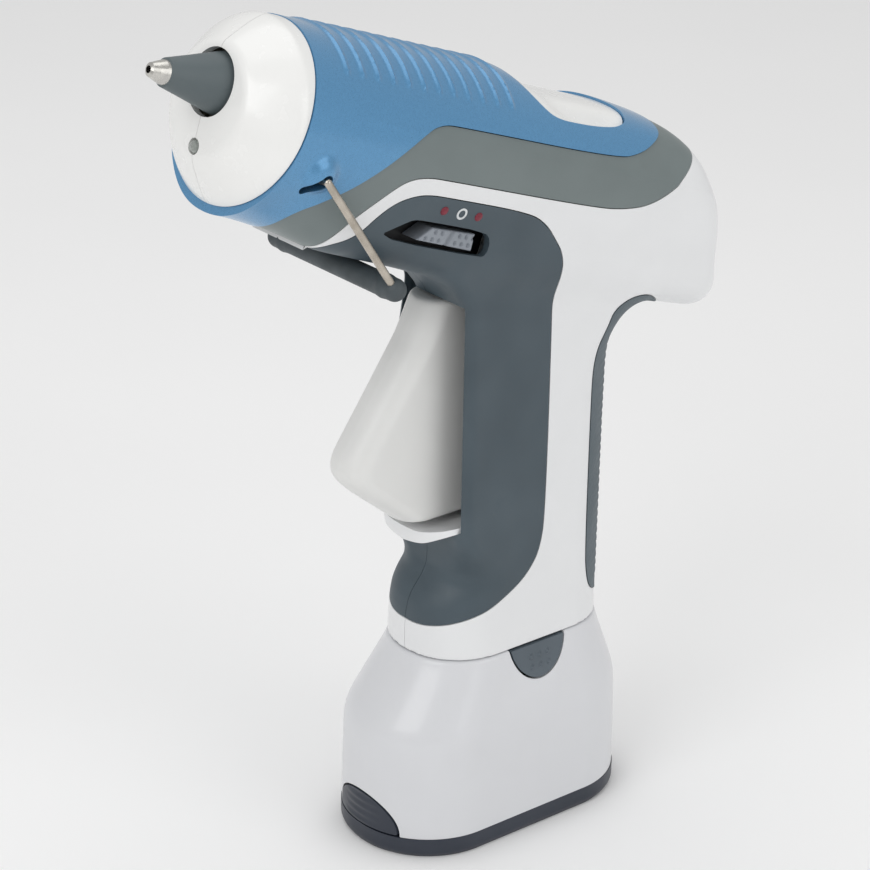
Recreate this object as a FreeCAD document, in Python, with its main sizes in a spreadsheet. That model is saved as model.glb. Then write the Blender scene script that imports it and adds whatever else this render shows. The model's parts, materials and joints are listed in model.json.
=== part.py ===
import FreeCAD, Part
import math
import os

import Sketcher
from FreeCAD import Placement, Rotation, Vector

# Cordless glue gun.  +Z is up, the nozzle points to -Y, +X is the gun's left side.  The origin is
# the centre of the battery pack's bottom face.  The barrel is pitched nose-up, so the barrel pieces
# are placed with s (along the barrel, rearwards) and m (square to it, upwards) from the barrel axis.

DIMENSIONS = {
    "barrel_radius": 24.0,
    "barrel_pitch": 19.5,
    "barrel_height": 172.9,
    "feed_rise": 5.8,
    "wall": 2.2,
    "skin": 1.1,
    "keel_depth": 28.2,
    "grip_half_width": 17.2,
    "grip_front": -9.6,
    "grip_rear": 16.6,
    "grip_bottom": 53.8,
    "stick_bore": 6.0,
    "chamber_radius": 9.0,
    "trigger_half_width": 14.2,
    "pin_radius": 1.5,
    "running_gap": 0.05,
    "moving_gap": 0.4,
    "stand_wire_radius": 1.0,
    "stand_foot_radius": 3.2,
    "stand_half_span": 24.9,
    "stand_foot_half_span": 23.4,
    "pack_radius": 22.9,
    "pack_shoulder_radius": 22.5,
    "pack_reach": 18.3,
    "pack_shoulder_height": 34.0,
    "pack_top": 53.4,
    "plate_height": 5.6,
    "cell_radius": 10.9,
    "cell_length": 33.0,
    "screw_radius": 1.4,
    "screw_head_radius": 2.8,
    "post_radius": 3.4,
}

doc = FreeCAD.newDocument("GlueGun")
sheet = doc.addObject("Spreadsheet::Sheet", "dims")
for row, (alias, number) in enumerate(DIMENSIONS.items(), start=1):
    sheet.set(f"A{row}", alias)
    sheet.set(f"B{row}", str(number))
    sheet.setAlias(f"B{row}", alias)
doc.recompute()

nodes = {}

X, Y, Z = Vector(1, 0, 0), Vector(0, 1, 0), Vector(0, 0, 1)
PITCH = DIMENSIONS["barrel_pitch"]
ALONG = Rotation(X, -PITCH).multVec(Y)
UP = Rotation(X, -PITCH).multVec(Z)
AXIS_POINT = UP * DIMENSIONS["barrel_height"]
SIDE_VIEW = Rotation(Vector(1, 1, 1), 120)
FEED = DIMENSIONS["feed_rise"]
FAR = 60.0


# Sizes: a size is a number, a name in the sheet, or (name, added amount).

def amount(size):
    """The number that a size stands for."""
    if isinstance(size, str):
        return DIMENSIONS[size]
    if isinstance(size, tuple):
        return DIMENSIONS[size[0]] + size[1]
    return size


def bind(obj, **sizes):
    """Set properties, bound to the sheet where the size names a cell."""
    for prop, size in sizes.items():
        if isinstance(size, str):
            obj.setExpression(prop, f"dims.{size}")
        elif isinstance(size, tuple):
            obj.setExpression(prop, f"dims.{size[0]} + ({size[1]})")
        else:
            setattr(obj, prop, size)
    return obj


def barrel_point(x, s, m):
    return X * x + AXIS_POINT + ALONG * s + UP * m


def side(s, m):
    """A barrel position as (y, z) in the side view."""
    point = barrel_point(0, s, m)
    return point.y, point.z


# Primitives and booleans

def cylinder(name, radius, length, base, direction=Z):
    obj = bind(doc.addObject("Part::Cylinder", name), Radius=radius, Height=length)
    obj.Placement = Placement(Vector(base), Rotation(Z, Vector(direction)))
    return obj


def barrel_cylinder(name, radius, start, end, m=0.0, x=0.0):
    return cylinder(name, radius, end - start, barrel_point(x, start, m), ALONG)


def cross_cylinder(name, radius, start, end, y, z):
    """A cylinder across the gun, from x = start to x = end."""
    return cylinder(name, radius, end - start, Vector(start, y, z), X)


def box(name, low, high, placement=None):
    obj = doc.addObject("Part::Box", name)
    bind(obj, Length=high[0] - low[0], Width=high[1] - low[1], Height=high[2] - low[2])
    corner = Placement(Vector(*low), Rotation())
    obj.Placement = placement.multiply(corner) if placement else corner
    return obj


BARREL = Placement(AXIS_POINT, Rotation(X, -PITCH))


def barrel_box(name, low, high):
    """A box whose corners are given as (x, s, m)."""
    return box(name, low, high, BARREL)


def fuse(name, *shapes):
    obj = doc.addObject("Part::MultiFuse", name)
    obj.Shapes = list(shapes)
    obj.Refine = True
    return obj


def common(name, *shapes):
    obj = doc.addObject("Part::MultiCommon", name)
    obj.Shapes = list(shapes)
    return obj


def cut(name, base, *tools):
    obj = doc.addObject("Part::Cut", name)
    obj.Base = base
    obj.Tool = tools[0] if len(tools) == 1 else fuse(name + "_tools", *tools)
    return obj


def group(name, *shapes):
    obj = doc.addObject("Part::Compound", name)
    obj.Links = list(shapes)
    return obj


def node(name, obj):
    """Keep an object as a piece of the gun."""
    obj.Label = name
    nodes[name] = obj
    return obj


# Sketches

def add_outline(sketch, steps):
    """Closed outline: (a, b) is a straight step, ((a, b), (a, b)) an arc through the first point."""
    here = Vector(*steps[0], 0)
    pieces, starts = [], []
    for step in list(steps[1:]) + [steps[0]]:
        through = Vector(*step[0], 0) if isinstance(step[0], tuple) else None
        end = Vector(*step[1], 0) if through else Vector(*step, 0)
        if end.distanceToPoint(here) < 1e-6:
            continue
        pieces.append(Part.Arc(here, through, end) if through else Part.LineSegment(here, end))
        starts.append(here)
        here = end
    sketch.addGeometry(pieces, False)
    ends = [(1, 2) if sketch.getPoint(i, 1).distanceToPoint(start) < 1e-4 else (2, 1)
            for i, start in enumerate(starts)]
    for i in range(len(pieces)):
        after = (i + 1) % len(pieces)
        sketch.addConstraint(Sketcher.Constraint("Coincident", i, ends[i][1], after, ends[after][0]))
        sketch.addConstraint(Sketcher.Constraint("Block", i))
    return sketch


def outline(name, steps, placement):
    sketch = doc.addObject("Sketcher::SketchObject", name)
    sketch.Placement = placement
    return add_outline(sketch, steps)


def extrude(name, sketch, direction, ahead, behind=0.0):
    obj = doc.addObject("Part::Extrusion", name)
    obj.Base = sketch
    obj.DirMode = "Custom"
    obj.Dir = direction
    bind(obj, LengthFwd=ahead, LengthRev=behind)
    obj.Solid = True
    return obj


def side_prism(name, steps, half_width=FAR):
    """A prism across the gun from an outline in (y, z)."""
    return extrude(name, outline(name + "_outline", steps, Placement(Vector(), SIDE_VIEW)),
                   X, half_width, half_width)


def barrel_side_prism(name, steps, half_width=FAR):
    """A prism across the gun from an outline in (s, m)."""
    return extrude(name, outline(name + "_outline", steps, BARREL.multiply(Placement(Vector(), SIDE_VIEW))),
                   X, half_width, half_width)


def stadium_steps(radius, front, rear):
    """A long plan outline with round ends, whose end centres are at y = front and y = rear."""
    return [(radius, front), (radius, rear), ((0, rear + radius), (-radius, rear)),
            (-radius, front), ((0, front - radius), (radius, front))]


def plane_of(body, role):
    return next(item for item in body.Origin.OriginFeatures if item.Role == role)


def body_sketch(body, role, offset=0.0):
    """A sketch on one of the body's own origin planes, raised from it by the offset."""
    sketch = body.newObject("Sketcher::SketchObject", f"{body.Name}_sketch")
    sketch.AttachmentSupport = [(plane_of(body, role), "")]
    sketch.MapMode = "FlatFace"
    sketch.AttachmentOffset = Placement(Vector(0, 0, offset), Rotation())
    return sketch


def corners(sketch, points):
    """A closed polygon whose corners are dimensioned from the sketch's origin."""
    count = len(points)
    places = [Vector(amount(a), amount(b), 0) for a, b in points]
    for i in range(count):
        sketch.addGeometry(Part.LineSegment(places[i], places[(i + 1) % count]), False)
    for i in range(count):
        sketch.addConstraint(Sketcher.Constraint("Coincident", i, 2, (i + 1) % count, 1))
    for i, point in enumerate(points):
        for kind, line, size in zip(("DistanceX", "DistanceY"), (-2, -1), point):
            if amount(size) == 0:
                sketch.addConstraint(Sketcher.Constraint("PointOnObject", i, 1, line))
                continue
            index = sketch.addConstraint(Sketcher.Constraint(kind, -1, 1, i, 1, amount(size)))
            if isinstance(size, (str, tuple)):
                bind(sketch, **{f"Constraints[{index}]": size})
    return sketch


def turned(name, points, placement):
    """A turned piece from (radius, height) points, about the placement's Z axis."""
    body = doc.addObject("PartDesign::Body", name)
    sketch = corners(body_sketch(body, "XZ_Plane"), points)
    revolution = body.newObject("PartDesign::Revolution", f"{name}_turned")
    revolution.Profile = sketch
    revolution.ReferenceAxis = (sketch, ["V_Axis"])
    revolution.Angle = 360.0
    body.Placement = placement
    return body


def along_barrel(m=0.0, x=0.0, s=0.0):
    """A placement whose Z axis runs rearwards along the barrel."""
    return Placement(barrel_point(x, s, m), Rotation(Z, ALONG))


def across(x, y, z, direction=X):
    return Placement(Vector(x, y, z), Rotation(Z, direction))


def stadium_pad(name, radius, front, rear, low, high):
    """An upright block with a long round-ended plan, from z = low to z = high."""
    body = doc.addObject("PartDesign::Body", name)
    sketch = add_outline(body_sketch(body, "XY_Plane", low), stadium_steps(radius, front, rear))
    pad = body.newObject("PartDesign::Pad", f"{name}_pad")
    pad.Profile = sketch
    pad.Length = high - low
    return body


def rod_chain(name, points, radius):
    """A bent round wire: straight runs with a ball at each bend."""
    runs = []
    for i in range(len(points) - 1):
        run = points[i + 1] - points[i]
        runs.append(cylinder(f"{name}_run{i}", radius, run.Length, points[i], run))
    for i, point in enumerate(points[1:-1]):
        ball = bind(doc.addObject("Part::Sphere", f"{name}_bend{i}"), Radius=radius)
        ball.Placement = Placement(point, Rotation())
        runs.append(ball)
    return fuse(name, *runs)


def coil(name, radius, wire_radius, length, turns, placement):
    """A coil spring about the placement's Z axis."""
    pitch = length / turns
    path = Part.makeLongHelix(pitch, length, radius)
    start = Vector(radius, 0, 0)
    section = Part.Wire(Part.makeCircle(wire_radius, start, Vector(0, radius * 2 * math.pi, pitch)))
    spring = doc.addObject("Part::Feature", name)
    spring.Shape = Part.Wire(path).makePipeShell([section], True, True)
    spring.Placement = placement
    return spring


# The gun's envelope.  It is built three times: outside, at the skins' back and at the wall's back.

SEAM_S, SEAM_LEAN = -143.6, 0.15
SHOULDER_S = -120.0


def seam(m):
    """Position s of the leaning seam between nose cap and barrel, at height m."""
    return SEAM_S + SEAM_LEAN * m


def belly_section(name, inset):
    """Section of the barrel's lower half in (x, m): flanks down to a corner and a crowned bottom."""
    corner = (20.3 - inset, -18.0 + 0.5 * inset)
    depth = DIMENSIONS["keel_depth"] - inset
    return outline(name, [(23.0 - inset, 0), (-23.0 + inset, 0), (-corner[0], corner[1]),
                          ((0, -depth), corner)],
                   Placement(barrel_point(0, -150.0, 0), Rotation(X, 90 - PITCH)))


def silhouette(inset):
    """Side outline of barrel, neck and handle in (y, z), drawn in by the inset."""
    i = inset
    top = DIMENSIONS["barrel_radius"] + 0.6 - i
    keel = -DIMENSIONS["keel_depth"] - 0.4 + i
    low = DIMENSIONS["grip_bottom"]
    return [
        side(seam(top), top),
        side(-73.5 - 0.3 * i, top),
        side(-60.5 - 0.3 * i, 20.5 - i),
        side(-30, 20.5 - i),
        side(-13 - i, 18.9 - i),
        ((59.0 - i, 176.0 - 0.5 * i), (61.3 - i, 163.0)),
        (63.1 - i, 141.5 + 0.3 * i),
        ((61.6 - i, 136.9 + i), (56.5 - 0.4 * i, 135.6 + i)),
        (43.0 - 0.3 * i, 139.9 + i),
        ((36.6 - 0.9 * i, 136.4 + 0.5 * i), (33.9 - i, 129.0)),
        (33.9 - i, low),
        (-26.9 + i, low),
        (-26.9 + i, 62.0),
        ((-25.3 + i, 70.0), (-21.4 + i, 73.6)),
        (-19.4 + i, 77.5),
        (-19.4 + i, 81.0),
        (-21.0 + i, 84.5),
        (-21.0 + i, 153.4 + 0.5 * i),
        side(-84.0 + 0.3 * i, -30.4 + i),
        side(-93.0, keel),
        side(SHOULDER_S, keel),
        side(seam(-24.4 + i), -24.4 + i),
    ]


def cone(name, radius, end_radius, start, end):
    """A cone along the barrel axis, from s = start to s = end."""
    obj = bind(doc.addObject("Part::Cone", name), Radius1=radius, Radius2=end_radius, Height=end - start)
    obj.Placement = Placement(barrel_point(0, start, 0), Rotation(Z, ALONG))
    return obj


def envelope(name, inset):
    """Solid filled out to the inset surface, from the nose seam to the rear face and the handle end."""
    radius, front, rear = (DIMENSIONS[key] for key in ("grip_half_width", "grip_front", "grip_rear"))
    radius -= inset
    low = DIMENSIONS["grip_bottom"]
    tube = barrel_cylinder(f"{name}_tube", ("barrel_radius", -inset), -149.0, 75.0)
    flare = cone(f"{name}_flare", 23.0 - inset, 73.0 - inset, -149.0, 75.0)
    belly = common(f"{name}_belly", flare, extrude(f"{name}_belly_prism", belly_section(
        f"{name}_belly_section", inset), ALONG, 220.0))
    handle = stadium_pad(f"{name}_handle", radius, front, rear, low, 100.0)
    channel = box(f"{name}_channel", (-radius, -26.0 + inset, 78.0), (radius, rear, 172.0))
    back = cylinder(f"{name}_back", radius, 65.0, Vector(0, rear, 95.0))
    neck = stadium_pad(f"{name}_neck", radius, 10.0, 26.0, 122.0, 166.0)
    filled = fuse(f"{name}_filled", tube, belly, handle, channel, back, neck)
    return common(name, filled, side_prism(f"{name}_silhouette", silhouette(inset)))


WALL, SKIN = DIMENSIONS["wall"], DIMENSIONS["skin"]
outside = envelope("outside", 0.0)
skin_back = envelope("skin_back", SKIN)
inside = envelope("inside", WALL)

front_mouth = barrel_cylinder("front_mouth", ("barrel_radius", -WALL), -156.0, -138.0)
handle_mouth = stadium_pad("handle_mouth", DIMENSIONS["grip_half_width"] - WALL,
                           DIMENSIONS["grip_front"], DIMENSIONS["grip_rear"], 45.0, 60.0)
trigger_mouth = extrude("trigger_mouth", outline("trigger_mouth_outline", [
    (-14.9, 91.0), ((0, 85.4), (14.9, 91.0)), (14.9, 153.0), (-14.9, 153.0)],
    Placement(Vector(0, -34.0, 0), Rotation(X, 90))), Y, 34.0)
wall_solid = cut("wall_solid", outside, inside, front_mouth, handle_mouth, trigger_mouth)
skin_solid = cut("skin_solid", outside, skin_back, trigger_mouth)


# Side-view zones that divide the walls and skins into pieces

blue_zone = barrel_side_prism("cover_zone", [
    (seam(-30) - 8, -30), (-137.2, -30), (-135.2, -18.8), ((-132.2, -15.8), (-127.0, -12.0)),
    (-109.0, 4.6), ((-105.4, 8.0), (-100.5, 9.5)), (-42.0, 9.5), ((-29.4, 13.0), (-20.4, 21.5)),
    (-20.4, 30), (seam(30) - 8, 30)])
band_zone = barrel_side_prism("band_zone", [
    (-150, -30), (-123.6, -30), (-121.6, -19.6), (-110.4, -6.4), ((-107.0, -4.4), (-101.5, -3.8)),
    (-44.0, -3.4), ((-22.6, 2.0), (-9.6, 18.0)), (-9.6, 30), (-150, 30)])
grip_zone = side_prism("grip_zone", [
    side(-150, -40), side(-122.8, -40), side(-122.8, -27.4), side(-117.4, -21.6), side(-109.0, -11.0),
    (side(-105.4, -8.6), side(-100.0, -7.8)), side(-66.5, -7.8), (side(-58.4, -10.2), side(-50.6, -17.0)),
    (6.2, 160.0), (6.2, 91.0), ((1.6, 75.4), (-9.0, 68.0)), (-27.5, 59.6), (-40.0, 59.6),
    (-120.0, 120.0)])
strap_zone = side_prism("strap_zone", [
    (20.5, 70.0), (20.5, 122.0), ((22.4, 132.4), (27.0, 140.6)), ((31.6, 144.2), (38.0, 144.4)),
    (46.0, 139.0), (60.0, 120.0), (60.0, 58.2), (33.0, 58.2), ((24.6, 61.2), (20.5, 70.0))])
left_half = box("left_half", (0.0, -200.0, 0.0), (FAR, 200.0, 300.0))
right_half = box("right_half", (-FAR, -200.0, 0.0), (0.0, 200.0, 300.0))
halves = (("left", left_half), ("right", right_half))


# Screw posts inside the halves: (y, z) of each screw

SCREWS = [(25.5, 74.0), (26.5, 118.0), side(-30.0, -17.0), side(-113.0, -19.5)]
posts = fuse("screw_posts", *[cross_cylinder(f"post{i}", "post_radius", -19.0, 19.0, y, z)
                              for i, (y, z) in enumerate(SCREWS)])
post_trim = common("post_trim", posts, skin_back)
SCREW_X = -13.5


def screw(i, y, z):
    """Pan-head screw from the right side, its head in a counterbore."""
    head = cross_cylinder(f"screw_head{i}", "screw_head_radius", SCREW_X - 1.8, SCREW_X, y, z)
    shank = cross_cylinder(f"screw_shank{i}", "screw_radius", SCREW_X - 0.1, 9.0, y, z)
    return fuse(f"screw{i}", head, shank)


screws = [screw(i, y, z) for i, (y, z) in enumerate(SCREWS)]
node("case_screws", group("case_screws", *screws))
screw_holes = fuse("screw_holes", *(
    [cross_cylinder(f"counterbore{i}", "screw_head_radius", -FAR, SCREW_X, y, z)
     for i, (y, z) in enumerate(SCREWS)]
    + [cross_cylinder(f"screw_core{i}", "screw_radius", SCREW_X - 0.1, 9.0, y, z)
       for i, (y, z) in enumerate(SCREWS)]))


# Openings through the walls

PIVOT_Y, PIVOT_Z = -19.0, 163.0
SWITCH_S, SWITCH_M = -90.5, -17.6
switch_slot = barrel_box("switch_slot", (9.0, SWITCH_S - 17.0, SWITCH_M - 3.1),
                         (FAR, SWITCH_S + 17.0, SWITCH_M + 3.1))
STAND_S, STAND_M = -134.0, -8.8
stand_y, stand_z = side(STAND_S, STAND_M)
stand_hole = cross_cylinder("stand_hole", ("stand_wire_radius", 0.05), -FAR, FAR, stand_y, stand_z)
lens_hole = barrel_cylinder("lens_hole", 1.8, -160.0, -140.0, m=-9.7)
inlet_hole = barrel_cylinder("inlet_hole", ("stick_bore", 2.0), -25.0, 30.0, m=FEED)
pin_hole = cross_cylinder("pin_hole", "pin_radius", -15.6, 15.6, PIVOT_Y, PIVOT_Z)
status_holes = fuse("status_holes", *[
    cylinder(f"status_hole{i}", 1.1, 30.0, barrel_point(12.0, s, -11.2), X)
    for i, s in enumerate((-93.4, -82.0))])


# Nose cap, in two halves

NOSE_OUTER = [(0.0, -155.2), (11.8, -155.2), (13.6, -154.4), (17.6, -152.2), (20.9, -150.0),
              (23.2, -147.4), (24.0, -144.0), (24.0, -134.0), (0.0, -134.0)]
NOSE_INNER = [(0.0, -153.0), (12.0, -153.0), (16.4, -150.4), (19.4, -148.2), (21.8, -144.6),
              (21.8, -130.0), (0.0, -130.0)]
nose_front = barrel_side_prism("nose_front", [
    (-190, -40), (seam(-40), -40), (seam(40), 40), (-190, 40)])
nose_hollow = cut("nose_hollow", turned("nose_outer", NOSE_OUTER, along_barrel()),
                  turned("nose_inner", NOSE_INNER, along_barrel()))
nozzle_hole = barrel_cylinder("nozzle_hole", 7.9, -160.0, -140.0, m=FEED)
nose_cap = cut("nose_cap", common("nose_shell", nose_hollow, nose_front), nozzle_hole, lens_hole)
for name, half in halves:
    node(f"nose_cap_{name}", common(f"nose_cap_{name}", nose_cap, half))


# Barrel cover with stand bosses and the rear window

window_outline = outline("window_outline", [
    (9.2, -66.0), (9.2, -42.2), ((0.0, -33.0), (-9.2, -42.2)), (-9.2, -66.0), ((0.0, -70.5), (9.2, -66.0))],
    Placement(barrel_point(0, 0, 14.0), Rotation(X, -PITCH)))
window_prism = extrude("window_prism", window_outline, UP, 12.0)
bosses = fuse("stand_bosses", *[
    cross_cylinder(f"stand_boss_{name}", 4.2, x, x + 6.4, stand_y, stand_z)
    for name, x in (("left", 17.0), ("right", -23.4))])
cover_wall = common("cover_wall", wall_solid, blue_zone)
cover_body = fuse("cover_body", cover_wall, bosses)
node("barrel_cover", cut("barrel_cover", cover_body, window_prism, stand_hole))
node("window_insert", common("window_insert", cover_wall, window_prism))


# Skins: trim band, grip overmould, back strap

band_skin = cut("band_skin", common("band_part", skin_solid, band_zone), blue_zone)
grip_skin = cut("grip_skin", common("grip_part", skin_solid, grip_zone), switch_slot, status_holes)
for name, half in halves:
    node(f"trim_band_{name}", cut(f"trim_band_{name}", common(f"band_{name}", band_skin, half),
                                  screw_holes))
    node(f"grip_overmould_{name}", cut(f"grip_overmould_{name}", common(f"grip_{name}", grip_skin, half),
                                       screw_holes))
strap_skin = common("strap_part", skin_solid, strap_zone)
node("back_strap", cut("back_strap", strap_skin, screw_holes))


# Body shells: walls and posts, less the cover and the skins

shell_walls = cut("shell_walls", wall_solid, blue_zone,
                  band_skin, common("grip_seat", skin_solid, grip_zone), strap_skin)
shell_solid = cut("shell_solid", fuse("shell_with_posts", shell_walls, post_trim),
                  screw_holes, switch_slot, inlet_hole, pin_hole, status_holes, trigger_mouth)
for name, half in halves:
    node(f"body_shell_{name}", common(f"body_shell_{name}", shell_solid, half))


# Nozzle, melt chamber and heater

feed_line = along_barrel(FEED)
node("nozzle_tip", turned("nozzle_tip", [
    (0.9, -173.4), (1.7, -173.0), (2.3, -171.4), (2.9, -169.6), (3.0, -169.0), (3.0, -150.0), (5.0, -150.0),
    (5.0, -146.0), (1.5, -146.0), (0.9, -166.0)], feed_line))
node("nozzle_sleeve", turned("nozzle_sleeve", [
    (3.0, -169.0), (3.5, -168.8), (5.2, -162.0), (7.4, -153.6), (7.7, -152.4), (7.7, -150.2),
    (3.0, -150.2)], feed_line))
heater_space = barrel_box("heater_space", (-4.6, -136.0, FEED - 9.8), (4.6, -101.0, FEED - 7.2))
chamber_blank = turned("chamber_blank", [
    (1.5, -146.0), ("chamber_radius", -146.0), ("chamber_radius", -95.0), (5.8, -95.0), (5.8, -128.0),
    (1.5, -134.0)], feed_line)
heater_pocket = barrel_box("heater_pocket", (-6.0, -136.0, FEED - 12.0), (6.0, -101.0, FEED - 7.2))
node("melt_chamber", cut("melt_chamber", chamber_blank, heater_pocket))
node("heater_element", heater_space)
clamp_ring = cut("clamp_ring", barrel_cylinder("clamp_outer", 12.0, -124.0, -114.0, m=FEED),
                 barrel_cylinder("clamp_inner", 11.0, -125.0, -113.0, m=FEED))
clamp_gap = barrel_box("clamp_gap", (-3.0, -130.0, FEED), (3.0, -110.0, FEED + 14.0))
node("heater_clamp", cut("heater_clamp", clamp_ring, clamp_gap))
mount_rings = [
    cut(f"chamber_mount{i}", barrel_cylinder(f"mount_disc{i}", ("barrel_radius", -WALL), s, s + 3.0),
        barrel_cylinder(f"mount_bore{i}", "chamber_radius", s - 1.0, s + 4.0, m=FEED),
        barrel_box(f"mount_foot{i}", (-FAR, s - 1.0, -FAR), (FAR, s + 4.0, -15.0)),
        heater_pocket)
    for i, s in enumerate((-143.6, -109.0))]
node("chamber_mounts", group("chamber_mounts", *mount_rings))
node("stick_sleeve", turned("stick_sleeve", [
    (5.9, -94.9), (7.6, -94.9), (7.6, -91.0), (5.9, -91.0)], feed_line))
node("stick_guide_tube", turned("stick_guide_tube", [
    (("stick_bore", 0.4), -56.0), (("stick_bore", 1.6), -56.0), (("stick_bore", 1.6), -16.0),
    (("stick_bore", 0.4), -16.0)], feed_line))
node("rear_inlet_ring", turned("rear_inlet_ring", [
    ("stick_bore", -15.9), (("stick_bore", 2.0), -15.9), (("stick_bore", 2.0), -4.0),
    (("stick_bore", 1.4), -4.0), ("stick_bore", -7.9)], feed_line))


# Indicator in the nose

node("nose_lens", turned("nose_lens", [
    (0.0, -155.8), (1.2, -155.4), (1.8, -154.4), (1.8, -149.0), (0.0, -149.0)], along_barrel(-9.7)))
node("lens_board", barrel_box("lens_board", (-4.5, -148.9, -13.2), (4.5, -147.4, -6.0)))


# Trigger, its pin, yoke and spring

PIVOT = Vector(0, PIVOT_Y, PIVOT_Z)
pivot_s, pivot_m = PIVOT.sub(AXIS_POINT).dot(ALONG), PIVOT.sub(AXIS_POINT).dot(UP)
TRIGGER_BACK = -12.0


half_trigger = DIMENSIONS["trigger_half_width"]
trigger_plan = outline("trigger_plan", [
    (-half_trigger, 60.0), (half_trigger, 60.0), (half_trigger, -18.6), (7.6, -23.6),
    ((0, -26.2), (-7.6, -23.6)), (-half_trigger, -18.6)], Placement(Vector(0, 0, 154.0), Rotation()))
trigger_slope = extrude("trigger_slope", trigger_plan, Vector(0, -0.539, -0.842), 110.0)
trigger_profile = side_prism("trigger_profile", [
    (TRIGGER_BACK, 152.4), (-26.0, 152.4), (-49.6, 113.0), ((-50.2, 109.6), (-48.5, 107.8)), (-30.0, 93.0),
    (-28.5, 92.2), (TRIGGER_BACK, 92.2)], 20.0)
finger = common("trigger_finger", trigger_slope, trigger_profile)
hub = cross_cylinder("trigger_hub", 3.6, -14.4, 14.4, PIVOT_Y, PIVOT_Z)
web = side_prism("trigger_web", [
    (TRIGGER_BACK, 151.0), (TRIGGER_BACK, 160.0), (-16.0, 166.0), (-19.0, 160.0), (-17.4, 152.0),
    (-17.4, 151.0)], 13.4)
arms = [barrel_box(f"yoke_arm{i}", (x, pivot_s - 4.2, pivot_m), (x + 2.4, pivot_s + 4.2, FEED + 4.0))
        for i, x in enumerate((-14.4, 12.0))]
arm_slots = barrel_box("yoke_slots", (-20.0, pivot_s - 2.35, FEED - 4.5), (20.0, pivot_s + 2.35, FEED + 9.0))
hub_bore = cross_cylinder("hub_bore", ("pin_radius", DIMENSIONS["running_gap"]), -30, 30,
                          PIVOT_Y, PIVOT_Z)
trigger_solid = fuse("trigger_solid", finger, hub, web, *arms)
hollow = side_prism("trigger_hollow", [
    (-11.0, 97.0), (-30.0, 97.0), (-42.0, 109.0), (-39.0, 116.0), (-11.0, 116.0)], 7.5)
node("trigger", cut("trigger", trigger_solid, arm_slots, hub_bore, hollow))
node("trigger_pivot_pin", cross_cylinder("trigger_pivot_pin", "pin_radius", -15.6, 15.6,
                                         PIVOT_Y, PIVOT_Z))

ledge_bar = cut("ledge_bar", cylinder("ledge_under", 22.4, 24.0, Vector(0, -34.0, 107.8), Y),
                cylinder("ledge_top", 31.5, 26.0, Vector(0, -35.0, 121.3), Y))
ledge_plan = extrude("ledge_plan", outline("ledge_plan_outline", [
    (-14.8, -12.0), (14.8, -12.0), (14.8, -20.4), ((0, -28.4), (-14.8, -20.4))],
    Placement(Vector(0, 0, 80.0), Rotation())), Z, 10.8)
node("trigger_ledge", common("trigger_ledge", ledge_bar, ledge_plan))

# Feed carriage with its gripper

carriage_ring = turned("carriage_ring", [
    (("stick_bore", 0.2), -79.0), (9.6, -79.0), (9.6, -65.5), (("stick_bore", 0.2), -65.5)], feed_line)
trunnion_y, trunnion_z = side(pivot_s, FEED)
trunnions = [cross_cylinder(f"trunnion{i}", 2.0, x, x + 7.4, trunnion_y, trunnion_z)
             for i, x in enumerate((-15.6, 8.2))]
gripper_slot = barrel_box("gripper_slot", (-2.5, -76.0, FEED + 4.0), (2.5, -70.0, FEED + 12.0))
node("feed_carriage", cut("feed_carriage", fuse("carriage_solid", carriage_ring, *trunnions),
                          gripper_slot))
node("stick_gripper", barrel_side_prism("stick_gripper", [
    (-75.8, FEED + 6.3), (-74.2, FEED + 6.3), (-70.2, FEED + 8.4), (-70.2, FEED + 11.4),
    (-75.8, FEED + 11.4)], 2.4))


# Slide switch

SLIDER_BACK = SWITCH_S + 16.6
knob = barrel_box("slider_knob", (14.8, SLIDER_BACK - 23.0, SWITCH_M - 2.7),
                  (21.2, SLIDER_BACK, SWITCH_M + 2.7))
knob_heel = barrel_box("slider_heel", (10.0, SLIDER_BACK - 8.0, SWITCH_M - 4.0),
                       (16.9, SLIDER_BACK + 1.0, SWITCH_M + 4.0))
flange = barrel_box("slider_flange", (13.4, SLIDER_BACK - 23.0, SWITCH_M - 1.9),
                    (15.2, SLIDER_BACK - 8.0, SWITCH_M + 5.4))
node("switch_slider", fuse("switch_slider", cut("slider_top", knob, knob_heel), flange))
node("switch_body", barrel_box("switch_body", (5.0, SWITCH_S - 12.0, SWITCH_M - 3.4),
                               (12.4, SWITCH_S + 8.0, SWITCH_M + 5.0)))
node("status_lenses", group("status_lenses", *[
    common(f"status_lens{i}", cylinder(f"status_rod{i}", 1.1, 30.0, barrel_point(12.0, s, -11.2), X),
           wall_solid)
    for i, s in enumerate((-93.4, -82.0))]))


# Folding stand

foot_s, foot_m = -103.0, -31.8
foot_y, foot_z = side(foot_s, foot_m)
span = DIMENSIONS["stand_half_span"]
foot_span = DIMENSIONS["stand_foot_half_span"]
legs = []
for sign in (-1, 1):
    legs.extend([Vector(sign * 17.4, stand_y, stand_z), Vector(sign * span, stand_y, stand_z),
                 Vector(sign * foot_span, foot_y, foot_z)][::-sign])
node("stand_wire", rod_chain("stand_wire", legs, "stand_wire_radius"))
foot_bar = cross_cylinder("foot_bar", "stand_foot_radius", -foot_span - 1.4, foot_span + 1.4, foot_y, foot_z)
node("stand_foot", cut("stand_foot", foot_bar, rod_chain("foot_bore", legs, "stand_wire_radius")))


# Battery pack

def pack_section(body, radius, front, rear, height):
    return add_outline(body_sketch(body, "XY_Plane", height), stadium_steps(radius, front, rear))


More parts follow.
